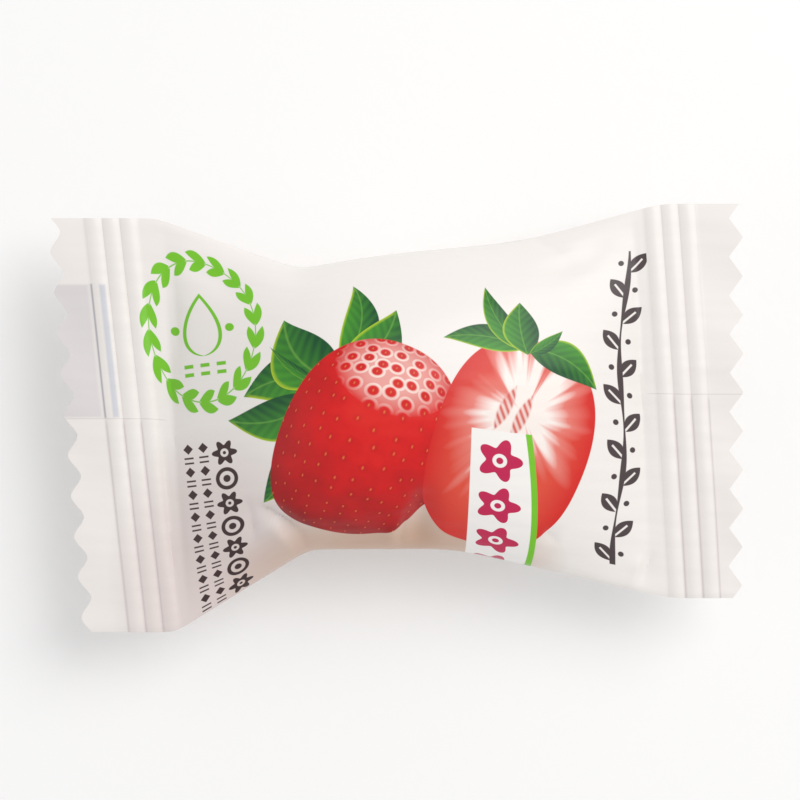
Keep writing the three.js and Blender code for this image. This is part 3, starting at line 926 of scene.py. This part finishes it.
def film_colour(place):
    x, y = parts(place)
    # The sweet showing through the film, and painted shade along the lower front.
    sweet_shade_x, sweet_shade_y = motif(place, SWEET_SHADE_CENTRE, 4, SWEET_SHADE_SIZE)
    sweet_shade = sweet_shade_x * sweet_shade_x + sweet_shade_y * sweet_shade_y
    # Painted shade: the lower left of the film is darkened and made rosier.
    lower_left_shade_x, lower_left_shade_y = motif(place, LOWER_LEFT_SHADE_CENTRE, 0, LOWER_LEFT_SHADE_SIZE)
    lower_left_shade_mask = lower_left_shade_x * lower_left_shade_x + lower_left_shade_y * lower_left_shade_y
    colour = paint(FILM_WHITE, LOWER_LEFT_SHADE, lower_left_shade_mask.times_plus(-0.8, 0.8).clamped())
    colour = paint(colour, SWEET_TINT_AND_SHADE, sweet_shade.times_plus(-0.95, 1.05).clamped())

    over_fin = FIN_WIDTH / 2 - abs(y - (FIN_ROOT + FIN_WIDTH / 2))
    tips_side = x * -1 + (BODY[0] - CRIMP_LENGTH)
    over_fin = over_fin.clamped(5)
    colour = paint(colour, OVER_SEAL, tips_side.clamped(2.5).least(over_fin))

    past = (abs(x - (BODY[0] + BODY[1]) / 2) - (BODY[1] - BODY[0]) / 2) * (1 / CRIMP_LENGTH)
    ridge = abs((past * (math.pi * RIDGE_COUNT)).math("SINE"))
    in_crimp = past.clamped(9) * (1.05 - past).clamped(20)
    below_root = (FIN_ROOT - y).clamped(2)
    # Painted shade in the grooves of both crimps, stronger where no back seal lies under them.
    groove = ridge.times_plus(-2.6, 1).clamped() * in_crimp
    colour = paint(colour, GROOVE_SHADE_AND_ROOT_GREY, groove * below_root.times_plus(0.5, 0.2))
    root = (1 - abs(y - FIN_ROOT) * (1 / ROOT_LINE)).clamped(0.5)
    colour = paint(colour, GROOVE_SHADE_AND_ROOT_GREY, root.least((past + 0.2).clamped(3)))
    # Painted shade: a grey stripe just inside the left crimp's outer border, over the back seal.
    edge_shade = (SEAL_EDGE_HALF - abs(tips_side + SEAL_EDGE_AT)).clamped(6)
    colour = paint(colour, SEAL_EDGE_SHADE, edge_shade.least(over_fin))
    # Painted shadow: a dark line along the left crimp's outer border, over the back seal.
    border = (1 - abs(tips_side) * (1 / BORDER_SHADOW_LINE)).clamped(0.75)
    return paint(colour, BORDER_SHADOW_GREY, border.least(over_fin))

def film_relief(place):
    """The height of the film's own texture, in mm: a fine peel, and soft pleats along the web."""
    peel = mottle(local_place(place, (0, 0), 0, (2.0, 0.8)), 1.1, 3)
    pleats = mottle(local_place(place, (0, 0), 0, (7.0, 1.6)), 1.0, 1)
    return peel.times_plus(0.008, pleats * 0.1)

FILM_FINISH = {"Roughness": 0.38, "Specular IOR Level": 0.35, "Coat Weight": 0.15, "Coat Roughness": 0.22}

def film_material(name, *prints):
    material = bpy.data.materials.new(name)
    material.use_nodes = True
    tree = material.node_tree
    shader = tree.nodes["Principled BSDF"]
    for socket, value in FILM_FINISH.items():
        shader.inputs[socket].default_value = value
    place = film_place(tree)
    colour = film_colour(place)
    for draw in prints:
        colour = draw(colour, place)
    tree.links.new(colour.socket, shader.inputs["Base Color"])
    bump = tree.nodes.new("ShaderNodeBump")
    bump.inputs["Distance"].default_value = MM
    feed(tree, bump.inputs["Height"], film_relief(place))
    tree.links.new(bump.outputs["Normal"], shader.inputs["Normal"])
    print(name, "has", len(tree.nodes), "nodes")
    return material

def leaves(list_of_leaves):
    def draw(colour, place):
        for base, tip, width, bend in list_of_leaves:
            colour = paint_leaf(colour, place, base, tip, width, bend)
        return colour
    return draw

FILMS = (
    film_material("pearl_film"),
    film_material("film_with_fruit", leaves(WHOLE_LEAVES), paint_whole_berry,
                  paint_cut_berry, leaves(CUT_LEAVES), paint_label),
    film_material("film_with_wreath", paint_wreath),
    film_material("film_with_columns", paint_columns),
    film_material("film_with_sprig", paint_sprig),
)

# %% [markdown]
# Each film square then takes the material whose print reaches it. The base is the same film in
# all of them, so no border shows.

# %% Which print goes where
FRONT_REACH = 19                # how far round the tube any print reaches from the front's middle
FRUIT_LEFT, FRUIT_TOP = -13.4, 11
COLUMNS_LEFT, COLUMNS_RIGHT = -16.4, -11.6
WREATH_ZONE = (4.6, 6.3)
SPRIG_LEFT, SPRIG_LEFT_BOW = 14.5, 0.016    # the fruit's zone bows back beside the sprig's ends

def in_oval(along, across_film, centre, size):
    return ((along - centre[0]) / size[0]) ** 2 + ((across_film - centre[1]) / size[1]) ** 2 < 1

def print_zone(along, across_film):
    """The number of the material at each place on the film."""
    front = np.abs(across_film) < FRONT_REACH
    zone = np.zeros(len(along), int)
    sprig_border = SPRIG_LEFT - SPRIG_LEFT_BOW * (across_film - 0.5) ** 2
    fruit = (along > FRUIT_LEFT) & (along < sprig_border) & (across_film < FRUIT_TOP)
    columns = (along > COLUMNS_LEFT) & (along < COLUMNS_RIGHT) & (across_film < COLUMN_TOP + 0.1)
    zone[front & fruit] = 1
    zone[front & in_oval(along, across_film, WREATH_CENTRE, WREATH_ZONE)] = 2
    zone[front & columns] = 3
    zone[front & (along > sprig_border) & (along < BODY[1])] = 4
    return zone

def dress(piece):
    count = len(piece.data.loops)
    uv = np.empty(count * 2)
    piece.data.uv_layers["film"].data.foreach_get("uv", uv)
    starts = np.empty(len(piece.data.polygons), int)
    piece.data.polygons.foreach_get("loop_start", starts)
    sizes = np.diff(np.append(starts, count))
    middles = np.add.reduceat(uv.reshape(-1, 2), starts) / sizes[:, None]
    along, across_film = ((middles - 0.5) * MAP_SPAN).T
    zone = print_zone(along, across_film) if piece is pack else np.zeros(len(along), int)
    piece.data.materials.clear()
    for film in FILMS if piece is pack else FILMS[:1]:
        piece.data.materials.append(film)
    piece.data.polygons.foreach_set("material_index", zone.astype(np.int32))
    print(piece.name, "squares by print:", np.bincount(zone))

for piece in (pack, fin):
    dress(piece)

# %% [markdown]
# The visual pieces belong to the CAD part. Both ride on its root, both replace its one solid, and
# both are film, so whoever loads the part finds the dressed pack where the plain one was.

# %% Join the frame
for piece in (pack, fin):
    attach(piece, "root")
    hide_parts("candy_pack")
    print(piece.name, "rides on root and stands for candy_pack")

# %% [markdown]
# The photograph was taken from straight above in soft light. One large lamp beyond the upper right
# corner leaves the lower left side in a mild shade, a weak one fills from the left, and a bright
# studio all round does the rest. The camera stands far off with a long lens, as a product
# photographer would have it, and is set so that the seals, 7 mm above the table, have the size
# that they have in the photograph. The Standard view keeps white film white.

# %% Stage, light and camera
PAPER_WHITE, PAPER_GLOW = (0.95, 0.95, 0.95, 1), 0.07     # a lit table under white paper

bpy.ops.object.select_all(action="DESELECT")
bpy.ops.mesh.primitive_plane_add(size=3)
floor = bpy.context.active_object
floor.name = "floor"
floor_paint = bpy.data.materials.new("floor_paint")
floor_paint.use_nodes = True
matt = floor_paint.node_tree.nodes["Principled BSDF"]
matt.inputs["Base Color"].default_value = PAPER_WHITE
matt.inputs["Emission Color"].default_value = PAPER_WHITE
matt.inputs["Emission Strength"].default_value = PAPER_GLOW
matt.inputs["Roughness"].default_value = 0.9
floor.data.materials.append(floor_paint)

PIXELS_PER_MM = 13.8
IMAGE_SIDE = 800
SEAL_HEIGHT = 7                 # mm above the table
PICTURE_MIDDLE = (0.22, 1.32)   # where the picture's middle lies on the pack, in mm

def area_light(name, place, size, power, colour=(1, 1, 1)):
    data = bpy.data.lights.new(name, "AREA")
    data.shape, data.size, data.energy, data.color = "SQUARE", size, power, colour
    lamp = bpy.data.objects.new(name, data)
    bpy.context.scene.collection.objects.link(lamp)
    lamp.location = place
    lamp.rotation_euler = (-Vector(place)).to_track_quat("-Z", "Y").to_euler()
    return lamp

area_light("key", (0.27, 0.20, 0.38), 0.35, 1.15, (1, 0.985, 0.965))
area_light("fill", (-0.45, -0.1, 0.35), 0.4, 0.12, (0.97, 0.98, 1))
world = bpy.data.worlds.new("studio")
bpy.context.scene.world = world
world.use_nodes = True
world.node_tree.nodes["Background"].inputs["Color"].default_value = (1, 1, 1, 1)
world.node_tree.nodes["Background"].inputs["Strength"].default_value = 0.64

camera_data = bpy.data.cameras.new("camera")
camera = bpy.data.objects.new("camera", camera_data)
bpy.context.scene.collection.objects.link(camera)
bpy.context.scene.camera = camera
camera_data.lens, camera_data.sensor_width = 135, 36
frame_width = IMAGE_SIDE / PIXELS_PER_MM
distance = frame_width * camera_data.lens / camera_data.sensor_width
camera.location = Vector((*PICTURE_MIDDLE, distance + SEAL_HEIGHT)) * MM
bpy.context.scene.view_settings.view_transform = "Standard"
print("camera", round(camera.location.z, 3), "m above the table")
